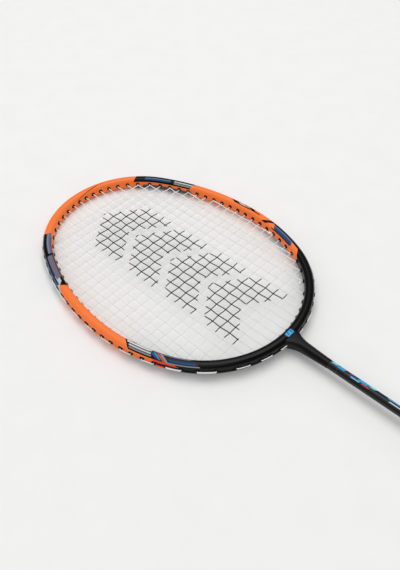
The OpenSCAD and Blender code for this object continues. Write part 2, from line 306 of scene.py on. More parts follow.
def startMaterial(name, roughness, **shader):
    material = bpy.data.materials.new(name)
    material.use_nodes = True
    tree = material.node_tree
    tree.nodes.clear()
    body = put(tree, "ShaderNodeBsdfPrincipled", {"Roughness": roughness})
    for key, value in shader.items():
        body.inputs[key.replace("_", " ")].default_value = value
    put(tree, "ShaderNodeOutputMaterial", {"Surface": body.outputs[0]})
    return material, tree, body


def unrolled(tree, mapName="flatMap"):
    uv = put(tree, "ShaderNodeUVMap", uv_map=mapName)
    parts = put(tree, "ShaderNodeSeparateXYZ", {0: uv.outputs[0]})
    return parts.outputs[0], parts.outputs[1]


def dress(tree, body, colour, look):
    # grain and scuffs over a colour, with their roughness and bump
    grain = useGroup(tree, grainGroup, {"Scale": look["grain"], "Contrast": look["mottle"]})
    shaded = put(tree, "ShaderNodeVectorMath", {0: colour, 1: grain["Shade"]}, operation="MULTIPLY")
    scuff = useGroup(tree, scuffGroup, {"Scale": look.get("scuffScale", 60.0),
                                        "Amount": look.get("scuff", 0.2)})
    tint = look.get("scuffColour", (0.4, 0.4, 0.4, 1))
    worn = blendColour(tree, scuff["Mask"], shaded.outputs[0], tint)
    tree.links.new(worn, body.inputs["Base Color"])
    rough = plus(tree, times(tree, grain["Height"], 0.12), look["rough"] - 0.06)
    tree.links.new(plus(tree, rough, times(tree, scuff["Mask"], 0.2), clamp=True),
                   body.inputs["Roughness"])
    body.inputs["Specular IOR Level"].default_value = look.get("shine", 0.25)
    return grain["Height"]


def addBump(tree, body, height, distance, strength=1.0):
    bump = put(tree, "ShaderNodeBump", {"Height": height, "Distance": distance, "Strength": strength})
    tree.links.new(bump.outputs[0], body.inputs["Normal"])


def plainMaterial(name, look, **shader):
    material, tree, body = startMaterial(name, look["rough"], **shader)
    colour = put(tree, "ShaderNodeRGB")
    colour.outputs[0].default_value = look["colour"]
    height = dress(tree, body, colour.outputs[0], look)
    addBump(tree, body, height, look.get("bump", 0.00005))
    return material


# mesh helpers

def addGrid(store, rings, uAlong, vAround, along=False, uEnd=0.0, vEnd=0.0):
    # closed rings of points joined into a skin, with a flat map of (along, around) in metres;
    # along=True joins the last ring to the first, and otherwise both ends are capped
    verts, faces, maps = store
    base = len(verts)
    count = len(rings[0])
    for ring in rings:
        verts.extend(ring)
    for i in range(len(rings) if along else len(rings) - 1):
        after = (i + 1) % len(rings)
        uAfter = uEnd if after == 0 else uAlong[after]
        for j in range(count):
            side = (j + 1) % count
            vSide = vEnd if side == 0 else vAround[side]
            faces.append([base + i * count + j, base + i * count + side,
                          base + after * count + side, base + after * count + j])
            maps.append([(uAlong[i], vAround[j]), (uAlong[i], vSide),
                         (uAfter, vSide), (uAfter, vAround[j])])
    if not along:
        last = base + (len(rings) - 1) * count
        faces.append([base + j for j in reversed(range(count))])
        maps.append([(uAlong[0], vAround[j]) for j in reversed(range(count))])
        faces.append([last + j for j in range(count)])
        maps.append([(uAlong[-1], v) for v in vAround])


def makePiece(name, store, material, replaced, creaseDeg=40):
    verts, faces, maps = store
    mesh = bpy.data.meshes.new(name)
    mesh.from_pydata(verts, [], faces)
    layer = mesh.uv_layers.new(name="flatMap")
    flat = [value for face in maps for pair in face for value in pair]
    layer.data.foreach_set("uv", flat)
    mesh.update()
    mesh.shade_smooth()
    mesh.set_sharp_from_angle(angle=math.radians(creaseDeg))
    mesh.materials.append(material)
    piece = bpy.data.objects.new(name, mesh)
    bpy.context.collection.objects.link(piece)
    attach(piece, "root")
    if replaced:
        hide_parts(*replaced)
    return piece


def evenly(whole, count):
    # equal steps round something closed
    return [whole * k / count for k in range(count)]


def sweepTube(store, path, radius, sides=8):
    # round section carried along a path without twisting
    rings, lengths = [], []
    travelled = 0.0
    side = None
    for i, point in enumerate(path):
        ahead = path[min(i + 1, len(path) - 1)] - path[max(i - 1, 0)]
        ahead.normalize()
        if side is None:
            side = ahead.cross(Vector((0, 0, 1)))
            if side.length < 0.01:
                side = Vector((1, 0, 0))
        side = side - ahead * side.dot(ahead)
        side.normalize()
        up = ahead.cross(side)
        if i:
            travelled += (point - path[i - 1]).length
        lengths.append(travelled)
        rings.append([point + (side * math.cos(a) + up * math.sin(a)) * radius
                      for a in evenly(2 * math.pi, sides)])
    girth = 2 * math.pi * radius
    addGrid(store, rings, uAlong=lengths, vAround=evenly(girth, sides), vEnd=girth)


def roundCorners(points, reach):
    # a small curve in place of each sharp corner
    smooth = [points[0]]
    for before, corner, after in zip(points, points[1:], points[2:]):
        back, ahead = before - corner, after - corner
        if back.length < 1e-7 or ahead.length < 1e-7 or back.angle(ahead) > math.radians(160):
            smooth.append(corner)
            continue
        start = corner + back * min(0.45, reach / back.length)
        end = corner + ahead * min(0.45, reach / ahead.length)
        for t in (0.0, 0.33, 0.67, 1.0):
            smooth.append(start.lerp(corner, t).lerp(corner.lerp(end, t), t))
    smooth.append(points[-1])
    return smooth


def lathe(store, profile, sides, centre, axis, side):
    # profile of (radius, height along the axis), closed on itself where it is a ring
    up = axis.cross(side)
    rings = [[centre + axis * height + (side * math.cos(a) + up * math.sin(a)) * radius
              for a in evenly(2 * math.pi, sides)] for radius, height in profile]
    run = [0.0]
    for (r0, h0), (r1, h1) in zip(profile, profile[1:]):
        run.append(run[-1] + math.hypot(r1 - r0, h1 - h0))
    girth = 2 * math.pi * max(radius for radius, height in profile)
    addGrid(store, rings, along=True, uAlong=run, vAround=evenly(girth, sides), uEnd=run[-1], vEnd=girth)


# the head's outline

tubeLow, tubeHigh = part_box("head_tube")
hoop = {
    "lowerLength": 117 * mm,
    "tubeWidth": 8 * mm,
    "tubeHeight": 10.8 * mm,
    "cornerRadius": 3.4 * mm,
    "grooveDepth": 0.8 * mm,
    "grooveWidth": 3.4 * mm,
    "lapThickness": 0.05 * mm,
    "tipTurn": 28,
    "lowTurn": 24,
}
halfWidth = tubeHigh[0] - hoop["lapThickness"]
tipY = tubeHigh[1]
throatY = tubeLow[1]
upperLength = tipY - throatY - hoop["lowerLength"]
wideY = tipY - upperLength


def arcRadii(length, turn):
    c, s = math.cos(math.radians(turn)), math.sin(math.radians(turn))
    share = c + s - 1
    return (halfWidth * s - length * (1 - c)) / share, (length * c - halfWidth * (1 - s)) / share


tipRadius, tipSideRadius = arcRadii(upperLength, hoop["tipTurn"])
lowRadius, lowSideRadius = arcRadii(hoop["lowerLength"], hoop["lowTurn"])
lowCentreY = throatY + lowRadius


def arcAt(direction):
    # centre and radius of the arc whose outward normal points that way
    t = math.radians(direction)
    up = math.sin(t) >= 0
    turn = hoop["tipTurn"] if up else hoop["lowTurn"]
    if math.degrees(math.asin(min(1.0, abs(math.sin(t))))) > turn:
        return (0.0, tipY - tipRadius if up else lowCentreY), tipRadius if up else lowRadius
    radius = tipSideRadius if up else lowSideRadius
    sideX = halfWidth - radius
    return (sideX if math.cos(t) > 0 else -sideX, wideY), radius


def rim(direction, out, z=0.0):
    (x, y), radius = arcAt(direction)
    t = math.radians(direction)
    return Vector((x + (radius + out) * math.cos(t), y + (radius + out) * math.sin(t), z))


def outward(direction):
    return Vector((math.cos(math.radians(direction)), math.sin(math.radians(direction)), 0))


def tubeSection():
    # half section from the groove's floor over the top to the inner wall, as (out, z)
    w, h, r = hoop["tubeWidth"], hoop["tubeHeight"] / 2, hoop["cornerRadius"]
    depth, width = hoop["grooveDepth"], hoop["grooveWidth"]
    grooveRadius = (width * width / 4 + depth * depth) / (2 * depth)
    half = []
    for k in range(5):
        z = width / 2 * k / 4
        half.append((grooveRadius - depth - math.sqrt(grooveRadius ** 2 - z * z), z))
    for start, centre in ((0, -r), (90, -w + r)):
        for k in range(9):
            a = math.radians(start + 90 * k / 8)
            half.append((centre + r * math.cos(a), h - r + r * math.sin(a)))
    half.append((-w, 0.0))
    return half


def headMesh():
    half = tubeSection()
    section = half + [(out, -z) for out, z in reversed(half[1:-1])]
    reach = [0.0]
    for (a, b), (c, d) in zip(half, half[1:]):
        reach.append(reach[-1] + math.hypot(c - a, d - b))
    around = reach + [-v for v in reversed(reach[1:-1])]
    halfGirth = reach[-1]
    directions = [270 - 360 * k / 420 for k in range(420)]
    middle = [rim(t, -hoop["tubeWidth"] / 2) for t in directions]
    along = [0.0]
    for a, b in zip(middle, middle[1:] + middle[:1]):
        along.append(along[-1] + (b - a).length)
    whole = along.pop()
    store = ([], [], [])
    maps = store[2]
    addGrid(store, [[rim(t, out, z) for out, z in section] for t in directions], along=True,
            uAlong=[a - whole / 2 for a in along], vAround=around, uEnd=whole / 2, vEnd=0.0)
    for k, face in enumerate(maps):      # the inner wall's centre line counts as both sides
        heights = [v for u, v in face]
        if min(heights) < 0 < max(heights) and max(map(abs, heights)) > halfGirth / 2:
            maps[k] = [(u, -abs(v)) for u, v in face]
    return store, halfGirth


# head paint

paint = {
    "orange": srgb(255, 127, 60),
    "orangeRed": srgb(232, 70, 34),
    "black": srgb(7, 7, 8),
    "blue": srgb(26, 68, 116),
    "navy": srgb(15, 28, 62),
    "paleBlue": srgb(120, 150, 190),
    "sky": srgb(40, 160, 222),
    "silver": srgb(190, 192, 194),
    "grey": srgb(142, 142, 146),
    "mauve": srgb(112, 106, 122),
    "darkGrey": srgb(78, 80, 84),
    "maroon": srgb(92, 30, 30),
    "white": srgb(232, 232, 230),
    "cyan": srgb(105, 205, 225),
    "red": srgb(200, 40, 36),
}

# (colour, start, end, low, high, slant) in mm: along from the tip, + on the right; around from the
# groove over the top (about 8) to the inner wall (16); a slanted band starts later further round
headMarks = [
    ("black", 236, 420, -1, 17, 1.4),
    ("black", -420, -220, -1, 17, 1.0),
    # upper right
    ("black", 62, 121, 2.6, 13.4, -0.5),
    ("paleBlue", 69, 95, 8.8, 9.4, -0.5),
    ("blue", 69, 95, 9.4, 11.4, -0.5),
    ("silver", 98.5, 118, 8.3, 9.9, 0.3),
    ("grey", 98.5, 117, 10.6, 12.0, 0.3),
    # two thin curls by the tip
    ("maroon", 18, 20.5, 8.5, 13.5, -5.0),
    ("maroon", 25, 27.5, 8.0, 11.0, -6.0),
    # right side strip of small generic chips
    ("black", 160, 167, 6.6, 9.4, 1.6),
    ("silver", 167.5, 173, 6.2, 8.4, 1.6),
    ("black", 168, 182, 8.6, 9.6, 1.6),
    ("black", 174, 185, 6.2, 8.2, 1.6),
    ("silver", 175, 180, 6.8, 7.6, 1.6),
    ("black", 182, 193, 8.0, 9.2, 1.6),
    # lower right
    ("black", 209.5, 214.5, 4.4, 12.0, -1.4),
    ("black", 207, 246, 2.4, 8.0, 1.0),
    ("paleBlue", 213, 239, 8.0, 8.6, 1.0),
    ("blue", 213, 239, 8.6, 11.6, 1.0),
    ("black", 212, 240, 11.6, 12.4, 1.0),
    # lower left
    ("orange", -237, -214, -1, 4.0, 0.0),
    ("grey", -234, -215, 5.2, 6.3, 0.4),
    ("silver", -233, -214, 7.0, 8.4, 0.4),
    ("white", -233, -211, 9.3, 10.9, 0.4),
    ("maroon", -236, -207, 12.4, 13.4, 0.4),
    ("orangeRed", -256, -238, 1.6, 4.2, 1.6),
    ("orangeRed", -245.5, -243.5, 4.2, 10.2, 1.3),
    ("blue", -243, -237, 5.0, 9.8, 1.3),
    ("sky", -241.5, -240.2, 5.0, 9.8, 1.3),
    ("grey", -271, -246, 4.0, 10.6, 1.2),
    ("black", -269.8, -247.4, 4.9, 9.7, 1.2),
    ("blue", -268.6, -248.6, 5.4, 7.0, 1.2),
    ("navy", -268.6, -248.6, 7.6, 9.3, 1.2),
    # upper left
    ("black", -124, -58, 0.8, 12.4, -0.6),
    ("mauve", -88, -61, 7.8, 11.6, 0.4),
    ("paleBlue", -87, -61, 8.6, 9.3, 0.4),
    ("silver", -134, -122, 0.8, 9.0, 1.3),
    ("mauve", -120, -91, 6.2, 10.8, 0.4),
    ("blue", -124, -90, 1.4, 5.8, -0.4),
    ("navy", -123, -91, 4.6, 5.8, -0.4),
]


def paintChain(tree, colour, along, around, marks, scale=mm):
    for name, start, end, low, high, slant in marks:
        band = useGroup(tree, bandGroup, {"Along": along, "Around": around,
                                          "Start": start * scale, "End": end * scale,
                                          "Low": low * scale, "High": high * scale, "Slant": slant})
        colour = blendColour(tree, band["Mask"], colour, paint[name])
    return colour


def headPaint(halfGirth):
    look = {"rough": 0.26, "grain": 700.0, "mottle": 0.07, "scuff": 0.18, "scuffScale": 70.0,
            "scuffColour": srgb(120, 104, 96), "shine": 0.16}
    material, tree, body = startMaterial("headPaint", look["rough"], Coat_Weight=0.06, Coat_Roughness=0.2)
    along, signed = unrolled(tree)
    around = calc(tree, "ABSOLUTE", signed)
    colour = paintChain(tree, paint["orange"], along, around, headMarks)
    wall = -(halfGirth / mm)             # the inner wall's centre line, on the tube's lower half
    innerLow = [("darkGrey", 66, 119, wall + 0.3, wall + 2.6, 0.0),
                ("darkGrey", -104, -60, wall + 0.3, wall + 2.6, 0.0)]
    colour = paintChain(tree, colour, along, signed, innerLow)
    height = dress(tree, body, colour, look)
    addBump(tree, body, height, 0.00002)
    return material


store, halfGirth = headMesh()
makePiece("headFrame", store, headPaint(halfGirth), ["head_tube"], creaseDeg=38)
print("head frame done")


# holes, grommets and string routes

strung = {
    "mains": 22,
    "crosses": 23,
    "mainGap": 7.9 * mm,
    "crossGap": 8.9 * mm,
    "stringRadius": 0.4 * mm,
    "layerZ": 0.41 * mm,
    "bendIn": -9.5 * mm,
    "headProud": 0.6 * mm,
    "bendClear": 0.1 * mm,
    "loopStep": 3.0,
    "cornerReach": 0.5 * mm,
}
bendIn = strung["bendIn"]
bendOut = strung["headProud"] + strung["stringRadius"] + strung["bendClear"]
bedMiddle = (tipY + throatY) / 2


def angleAtX(x, up):
    turn = math.radians(hoop["tipTurn"] if up else hoop["lowTurn"])
    endR = (tipRadius if up else lowRadius) + bendIn
    sideR = tipSideRadius if up else lowSideRadius
    if abs(x) > endR * math.cos(turn):
        a = math.acos((abs(x) - halfWidth + sideR) / (sideR + bendIn))
    else:
        a = math.acos(abs(x) / endR)
    a = math.degrees(a)
    t = 180 - a if x < 0 else a
    return t if up else -t


def angleAtY(y):
    up = y >= wideY
    turn = math.radians(hoop["tipTurn"] if up else hoop["lowTurn"])
    endR = (tipRadius if up else lowRadius) + bendIn
    centre = abs((tipY - tipRadius if up else lowCentreY) - wideY)
    d = abs(y - wideY)
    if d > centre + endR * math.sin(turn):
        a = math.asin((d - centre) / endR)
    else:
        a = math.asin(d / ((tipSideRadius if up else lowSideRadius) + bendIn))
    return math.degrees(a) if up else -math.degrees(a)


mainX = [(i - (strung["mains"] - 1) / 2) * strung["mainGap"] for i in range(strung["mains"])]
crossY = [bedMiddle + ((strung["crosses"] - 1) / 2 - k) * strung["crossGap"]
          for k in range(strung["crosses"])]
crossT = [angleAtY(y) for y in crossY]


def nearCross(x, up):
    gaps = [(abs(rim(t, bendIn).x - abs(x)), k) for k, t in enumerate(crossT)
            if (math.sin(math.radians(t)) >= 0) == up]
    return min(gaps)


def isShared(x, up):
    return nearCross(x, up)[0] <= strung["mainGap"] / 2


def mainT(x, up):
    if not isShared(x, up):
        return angleAtX(x, up)
    t = crossT[nearCross(x, up)[1]]
    return 180 - t if x < 0 else t


def ownT(up):
    return [angleAtX(x, up) for x in mainX if not isShared(x, up)]


sharedK = [nearCross(x, up)[1] for up in (True, False) for x in mainX if x > 0 and isShared(x, up)]
sideT = [t for k, t in enumerate(crossT) if k not in sharedK]
sharedT = [t for k in sharedK for t in (crossT[k], 180 - crossT[k])]
lowMainT = [360 + mainT(x, False) for x in mainX]
mainEnds = [(b, mainT(x, True)) if i % 2 == 0 else (mainT(x, True), b)
            for i, (x, b) in enumerate(zip(mainX, lowMainT))]
crossEnds = [(180 - t, t) if k % 2 == 0 else (t, 180 - t) for k, t in enumerate(crossT)]


def ease(value):
    value = max(0.0, min(1.0, value))
    return value * value * (3 - 2 * value)


def wovenRun(start, end, level, crossings, offset):
    # a run that goes over and under; crossings counts half waves at a point
    length = (end - start).length
    steps = int(length / (1.6 * mm))
    run = []
    for k in range(steps + 1):
        point = start.lerp(end, k / steps)
        near = min(k, steps - k) / steps * length
        wave = math.cos(math.pi * (crossings(point) + offset)) * abs(level)
        if level < 0:
            wave = -wave
        hold = ease((near - 1.0 * mm) / (6 * mm))
        run.append(Vector((point.x, point.y, level * (1 - hold) + wave * hold)))
    return run


def stringPath(ends, level, crossings):
    path = [rim(ends[0][0], bendOut, level)]
    for i, (a, b) in enumerate(ends):
        path += wovenRun(rim(a, bendIn, level), rim(b, bendIn, level), level, crossings, i)
        if i == len(ends) - 1:
            path.append(rim(b, bendOut, level))
            continue
        nextT = ends[i + 1][0]
        n = max(1, math.ceil(abs(nextT - b) / strung["loopStep"]))
        path += [rim(b + (nextT - b) * k / n, bendOut, level) for k in range(n + 1)]
    return roundCorners(path, strung["cornerReach"])


grommet = {"bore": 0.9 * mm, "barrel": 1.4 * mm, "head": 1.9 * mm, "tip": 1.0 * mm, "seat": 0.9 * mm,
           "collar": 1.85 * mm, "chamfer": 0.25 * mm, "sides": 20}


def grommetProfile():
    g = grommet
    inner, proud = -(hoop["tubeWidth"] + g["tip"]), strung["headProud"]
    c = g["chamfer"]
    return [(g["bore"], inner + c), (g["bore"] + c, inner), (g["barrel"] - c, inner),
            (g["barrel"], inner + c), (g["barrel"] + 0.05 * mm, -hoop["tubeWidth"] - 0.4 * mm),
            (g["collar"] - 0.1 * mm, -hoop["tubeWidth"] - 0.35 * mm),
            (g["collar"], -hoop["tubeWidth"] - 0.2 * mm), (g["collar"], -hoop["tubeWidth"] + 0.1 * mm),
            (g["barrel"], -g["seat"]), (g["head"], -g["seat"]), (g["head"], proud - 0.5 * mm),
            (g["head"] - 0.15 * mm, proud - 0.15 * mm), (g["head"] - 0.5 * mm, proud),
            (g["bore"] + 0.2 * mm, proud), (g["bore"], proud - 0.2 * mm)]


def addGrommets(name, directions, node, material):
    store = ([], [], [])
    for t in directions:
        lathe(store, grommetProfile(), grommet["sides"], rim(t, 0.0), outward(t), Vector((0, 0, 1)))
    makePiece(name, store, material, [node], creaseDeg=50)


nylonBlack = plainMaterial("grommetNylon", {"colour": srgb(12, 12, 13), "rough": 0.5, "grain": 1500.0,
                                            "mottle": 0.2, "scuff": 0.15, "bump": 0.00003, "shine": 0.1})
for name, directions, node in (("tipGrommets", ownT(True), "top_grommets"),
                               ("throatGrommets", ownT(False), "throat_grommets"),
                               ("rightGrommets", sideT, "right_grommets"),
                               ("leftGrommets", [180 - t for t in sideT], "left_grommets"),
                               ("sharedGrommets", sharedT, "shared_grommets")):
    addGrommets(name, directions, node, nylonBlack)
print("grommets done")


# strings

stencil = {
    "halfWidth": 34 * mm,
    "bottom": -82 * mm,
    "top": 94 * mm,
    "pitch": 44 * mm,
    "barShare": 0.8,
    "slope": 0.75,
    "edge": 0.2 * mm,
}


def stringMaterial():
    # pale nylon with a faint lay, and bold chevrons inked across the bed
    look = {"rough": 0.4, "grain": 2600.0, "mottle": 0.05, "scuff": 0.1, "shine": 0.08,
            "scuffColour": srgb(190, 186, 176)}
    material, tree, body = startMaterial("stringNylon", look["rough"])
    parts = put(tree, "ShaderNodeSeparateXYZ", {0: objectPlace(tree)})
    x = parts.outputs[0]
    y = minus(tree, parts.outputs[1], bedMiddle)
    aside = calc(tree, "ABSOLUTE", x)
    leaned = plus(tree, y, times(tree, aside, stencil["slope"]))
    turn = calc(tree, "FRACT", over(tree, minus(tree, leaned, stencil["bottom"]), stencil["pitch"]))
    bar = within(tree, turn, 0.5 - stencil["barShare"] / 2, 0.5 + stencil["barShare"] / 2, 0.004)
    edge = stencil["edge"]
    inside = times(tree, ramp(tree, aside, stencil["halfWidth"] + edge, stencil["halfWidth"] - edge),
                   within(tree, leaned, stencil["bottom"], stencil["top"], edge))
    inked = times(tree, bar, inside)
    blot = put(tree, "ShaderNodeTexNoise", {"Scale": 900.0, "Detail": 2.0, "Vector": objectPlace(tree)})
    solid = ramp(tree, blot.outputs[0], 0.2, 0.36, 0.8, 1.0)
    ink = times(tree, inked, solid)
    colour = blendColour(tree, ink, srgb(240, 240, 236), srgb(7, 7, 8))
    height = dress(tree, body, colour, look)
    along, around = unrolled(tree)
    lay = calc(tree, "SINE", plus(tree, times(tree, along, 5200.0), times(tree, around, 2800.0)))
    addBump(tree, body, plus(tree, times(tree, lay, 0.4), height), 0.00002)
    return material


nylonWhite = stringMaterial()
level = strung["layerZ"]
mainPath = stringPath(mainEnds, level, lambda p: (crossY[0] - p.y) / strung["crossGap"])
crossPath = stringPath(crossEnds, -level, lambda p: (p.x - mainX[0]) / strung["mainGap"])
for name, path, node in (("mainString", mainPath, "main_string"),
                         ("crossString", crossPath, "cross_string")):
    store = ([], [], [])
    sweepTube(store, path, strung["stringRadius"], sides=8)
    makePiece(name, store, nylonWhite, [node], creaseDeg=80)


def addKnots():
    # each string end is tied off with three tight turns and a short tail
    store = ([], [], [])
    radius = strung["stringRadius"] * 1.05
    wound = strung["stringRadius"] + radius + 0.02 * mm
    turns, perTurn = 2.6, 14
    ties = ((mainEnds[0][0], mainEnds[0][1], level), (mainEnds[-1][1], mainEnds[-1][0], level),
            (crossEnds[0][0], crossEnds[0][1], -level), (crossEnds[-1][1], crossEnds[-1][0], -level))
    for hole, other, z in ties:
        start, end = rim(hole, bendIn, z), rim(other, bendIn, z)
        ahead = (end - start).normalized()
        side = ahead.cross(Vector((0, 0, 1)))
        path = []
        for k in range(int(turns * perTurn) + 1):
            a = 2 * math.pi * k / perTurn
            step = 1.6 * mm + k / perTurn * radius * 2.05
            spoke = side * math.cos(a) + Vector((0, 0, 1)) * math.sin(a)
            path.append(start + ahead * step + spoke * wound)
        out = (path[-1] - path[-2]).normalized()
        path += [path[-1] + out * 0.7 * mm + ahead * 0.2 * mm,
                 path[-1] + out * 1.4 * mm + ahead * 0.6 * mm]
        sweepTube(store, path, radius, sides=10)
    makePiece("stringKnots", store, nylonWhite, ["string_knots"], creaseDeg=70)


addKnots()
print("strings done")


# throat

throat = {
    "startY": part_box("throat_cone")[0][1],
    "flare": 9.6 * mm,
    "endRadius": 4.0 * mm,
    "curveRadius": 18 * mm,
    "topHalf": 4.7 * mm,
    "bury": 1.2 * mm,
    "rings": 44,
    "sides": 72,
    "ridge": 0.28 * mm,
    "mouth": 3.7 * mm,
}


def throatHalfWidth(y):
    # slim at the shaft, then curving out to the flare under the head
    reach = throat["curveRadius"]
    swell = 0.4 * mm
    rise = math.sqrt(reach ** 2 - (reach + swell - throat["flare"] + throat["endRadius"]) ** 2)
    d = max(0.0, y - (throatY + 1.0 * mm - rise))
    if d >= rise:
        return throat["flare"]
    run = y - throat["startY"]
    slim = (throat["endRadius"] - throat["mouth"]) * (1 - ease(run / (12 * mm)))
    bulge = swell * ease(run / (20 * mm))
    return throat["endRadius"] - slim + bulge + (reach - math.sqrt(reach ** 2 - d ** 2))


def throatMesh():
    rings, along = [], []
    top = throatY + throat["bury"]
    for i in range(throat["rings"] + 1):
        s = i / throat["rings"]
        y = throat["startY"] + (top - throat["startY"]) * s
        half = throatHalfWidth(y)
        tall = throat["mouth"] + (throat["topHalf"] - throat["mouth"]) * ease(s)
        square = ease((s - 0.25) / 0.75)
        power = 1.0 - 0.52 * square      # round below, boxy where it meets the tube
        ring = []
        for a in evenly(2 * math.pi, throat["sides"]):
            c, n = math.cos(a), math.sin(a)
            x = half * math.copysign(abs(c) ** power, c)
            z = tall * math.copysign(abs(n) ** power, n)
            fromTop = abs(a % math.pi - math.pi / 2)
            crest = math.exp(-((fromTop - 0.42) / 0.1) ** 2)
            z += math.copysign(throat["ridge"] * crest * ease(s * 4) * ease((1 - s) * 3), n)
            lift = lowRadius - math.sqrt(lowRadius ** 2 - x ** 2)
            ring.append(Vector((x, y + lift * ease((s - 0.3) / 0.7), z)))
        rings.append(ring)
        along.append(y)
    lip = [Vector((p.x * 0.95, throat["startY"], p.z * 0.95)) for p in rings[0]]
    rings[0] = [Vector((p.x, p.y + 0.25 * mm, p.z)) for p in rings[0]]
    rings.insert(0, lip)
    along.insert(0, along[0] - 0.3 * mm)
    store = ([], [], [])
    girth = 2 * math.pi * throat["endRadius"]
    addGrid(store, rings, uAlong=along, vAround=evenly(girth, throat["sides"]), vEnd=girth)
    return store


throatBlack = plainMaterial("throatPaint", {"colour": srgb(10, 10, 11), "rough": 0.36, "grain": 900.0,
                                            "mottle": 0.12, "scuff": 0.2, "bump": 0.00002,
                                            "scuffColour": srgb(90, 90, 92), "shine": 0.16},
                            Coat_Weight=0.08, Coat_Roughness=0.25)
makePiece("throatCone", throatMesh(), throatBlack, ["throat_cone"], creaseDeg=50)


def roundedPlate(store, centre, halfX, halfY, corner, base, thickness, crown):
    # small domed plate: rounded outline, bevelled edge, crowned face
    perCorner = 8
    outline = []
    for sx, sy, start in ((1, 1, 0), (-1, 1, 90), (-1, -1, 180), (1, -1, 270)):
        for k in range(perCorner + 1):
            a = math.radians(start + 90 * k / perCorner)
            outline.append((sx * (halfX - corner) + corner * math.cos(a),
                            sy * (halfY - corner) + corner * math.sin(a)))
    steps = ((1.0, 0.0), (1.0, thickness * 0.6), (0.97, thickness * 0.95), (0.9, thickness))
    rings, along = [], []
    for share, height in steps + tuple((0.9 - 0.18 * k, thickness) for k in range(1, 5)):
        rings.append([Vector((centre[0] + x * share, centre[1] + y * share,
                              base + height + crown * (1 - share ** 2) * (height >= thickness)))
                      for x, y in outline])
        along.append(share)
    addGrid(store, rings, uAlong=along, vAround=evenly(1.0, len(outline)), vEnd=1.0)


def badgeMaterial():
    look = {"rough": 0.22, "grain": 2000.0, "mottle": 0.08, "scuff": 0.2}
    material, tree, body = startMaterial("throatBadgeEnamel", look["rough"], Coat_Weight=0.2)
    parts = put(tree, "ShaderNodeSeparateXYZ", {0: objectPlace(tree)})
    x, y = parts.outputs[0], minus(tree, parts.outputs[1], badge["y"])
    colour = paintChain(tree, paint["sky"], x, y, [("navy", -2.3, -1.5, -1.3, 1.3, 0.3),
                                                   ("paleBlue", -0.5, 0.1, -1.3, 1.3, 0.3),
                                                   ("navy", 1.2, 1.7, -1.3, 1.3, 0.3)])
    height = dress(tree, body, colour, look)
    addBump(tree, body, height, 0.00001)
    return material


badgeLow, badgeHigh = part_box("throat_badge")
badge = {"y": (badgeLow[1] + badgeHigh[1]) / 2, "halfX": (badgeHigh[0] - badgeLow[0]) / 2,
         "halfY": (badgeHigh[1] - badgeLow[1]) / 2, "corner": 0.7 * mm, "thickness": 0.18 * mm}
store = ([], [], [])
roundedPlate(store, (0, badge["y"]), badge["halfX"], badge["halfY"], badge["corner"],
             badgeLow[2] - 0.03 * mm, badge["thickness"], 0.1 * mm)
makePiece("throatBadge", store, badgeMaterial(), ["throat_badge"])
print("throat done")


# shaft

shaftLow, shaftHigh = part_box("shaft")
shaft = {"radius": (shaftHigh[0] - shaftLow[0]) / 2, "bore": 2.3 * mm, "sides": 64, "ringStep": 6 * mm,
         "rough": 0.32, "grain": 1200.0, "mottle": 0.14, "scuff": 0.25,
         "scuffColour": srgb(100, 100, 104), "weavePitch": 1.6 * mm}

# chips of paint on the shaft: along down from the cone, around from the top
shaftMarks = [
    ("cyan", 0.5, 5.5, 0.2, 3.0, 0.9),
    ("sky", 6, 12, -0.4, 2.8, 0.9),
    ("navy", 12.5, 15, 0.4, 3.2, 0.9),
    ("red", 13, 19, 1.6, 2.4, 0.9),
    ("blue", 15.5, 22, -0.6, 1.6, 0.9),
    ("cyan", 18, 25, -1.4, -0.6, 0.9),
    ("sky", 23, 31, -0.2, 2.9, 0.9),
    ("red", 27, 33, -1.5, -0.7, 0.9),
    ("cyan", 32, 37, 0.4, 3.1, 0.9),
    ("navy", 38, 46, -0.8, 2.4, 0.9),
    ("sky", 47, 70, 0.9, 2.4, 0.9),
    ("silver", 49, 66, -1.2, -0.3, 0.9),
    ("blue", 72, 96, 0.0, 1.5, 0.9),
]


def shaftMesh():
    r = shaft["radius"]
    y0, y1 = shaftLow[1], shaftHigh[1]
    count = int((y1 - y0) / shaft["ringStep"])
    c = 0.3 * mm
    profile = [(shaft["bore"], y0), (r - c, y0), (r, y0 + c)]
    profile += [(r, y0 + (y1 - y0) * k / count) for k in range(1, count)]
    profile += [(r, y1 - c), (r - c, y1), (shaft["bore"], y1)]
    rings, along = [], []
    for radius, y in profile:
        rings.append([Vector((radius * math.sin(a), y, radius * math.cos(a)))
                      for a in evenly(2 * math.pi, shaft["sides"])])
        along.append(throat["startY"] - y)
    girth = 2 * math.pi * r
    around = [v if v <= girth / 2 else v - girth for v in evenly(girth, shaft["sides"])]
    store = ([], [], [])
    addGrid(store, rings, along=True, uAlong=along, vAround=around, uEnd=along[0], vEnd=0.0)
    maps = store[2]
    for k, face in enumerate(maps):      # the strip along the back keeps one sign
        if max(v for u, v in face) - min(v for u, v in face) > girth / 2:
            maps[k] = [(u, v if v > 0 else v + girth) for u, v in face]
    return store


def shaftPaint():
    material, tree, body = startMaterial("shaftPaint", shaft["rough"],
                                         Coat_Weight=0.15, Coat_Roughness=0.16)
    along, around = unrolled(tree)
    weave = useGroup(tree, weaveGroup, {"Along": along, "Around": around, "Pitch": shaft["weavePitch"]})
    base = blendColour(tree, weave["Height"], srgb(20, 20, 22), srgb(31, 31, 34))
    colour = paintChain(tree, base, along, around, shaftMarks)
    height = dress(tree, body, colour, shaft)
    addBump(tree, body, height, 0.00001)
    return material


makePiece("shaftTube", shaftMesh(), shaftPaint(), ["shaft"])
print("shaft done")


# handle

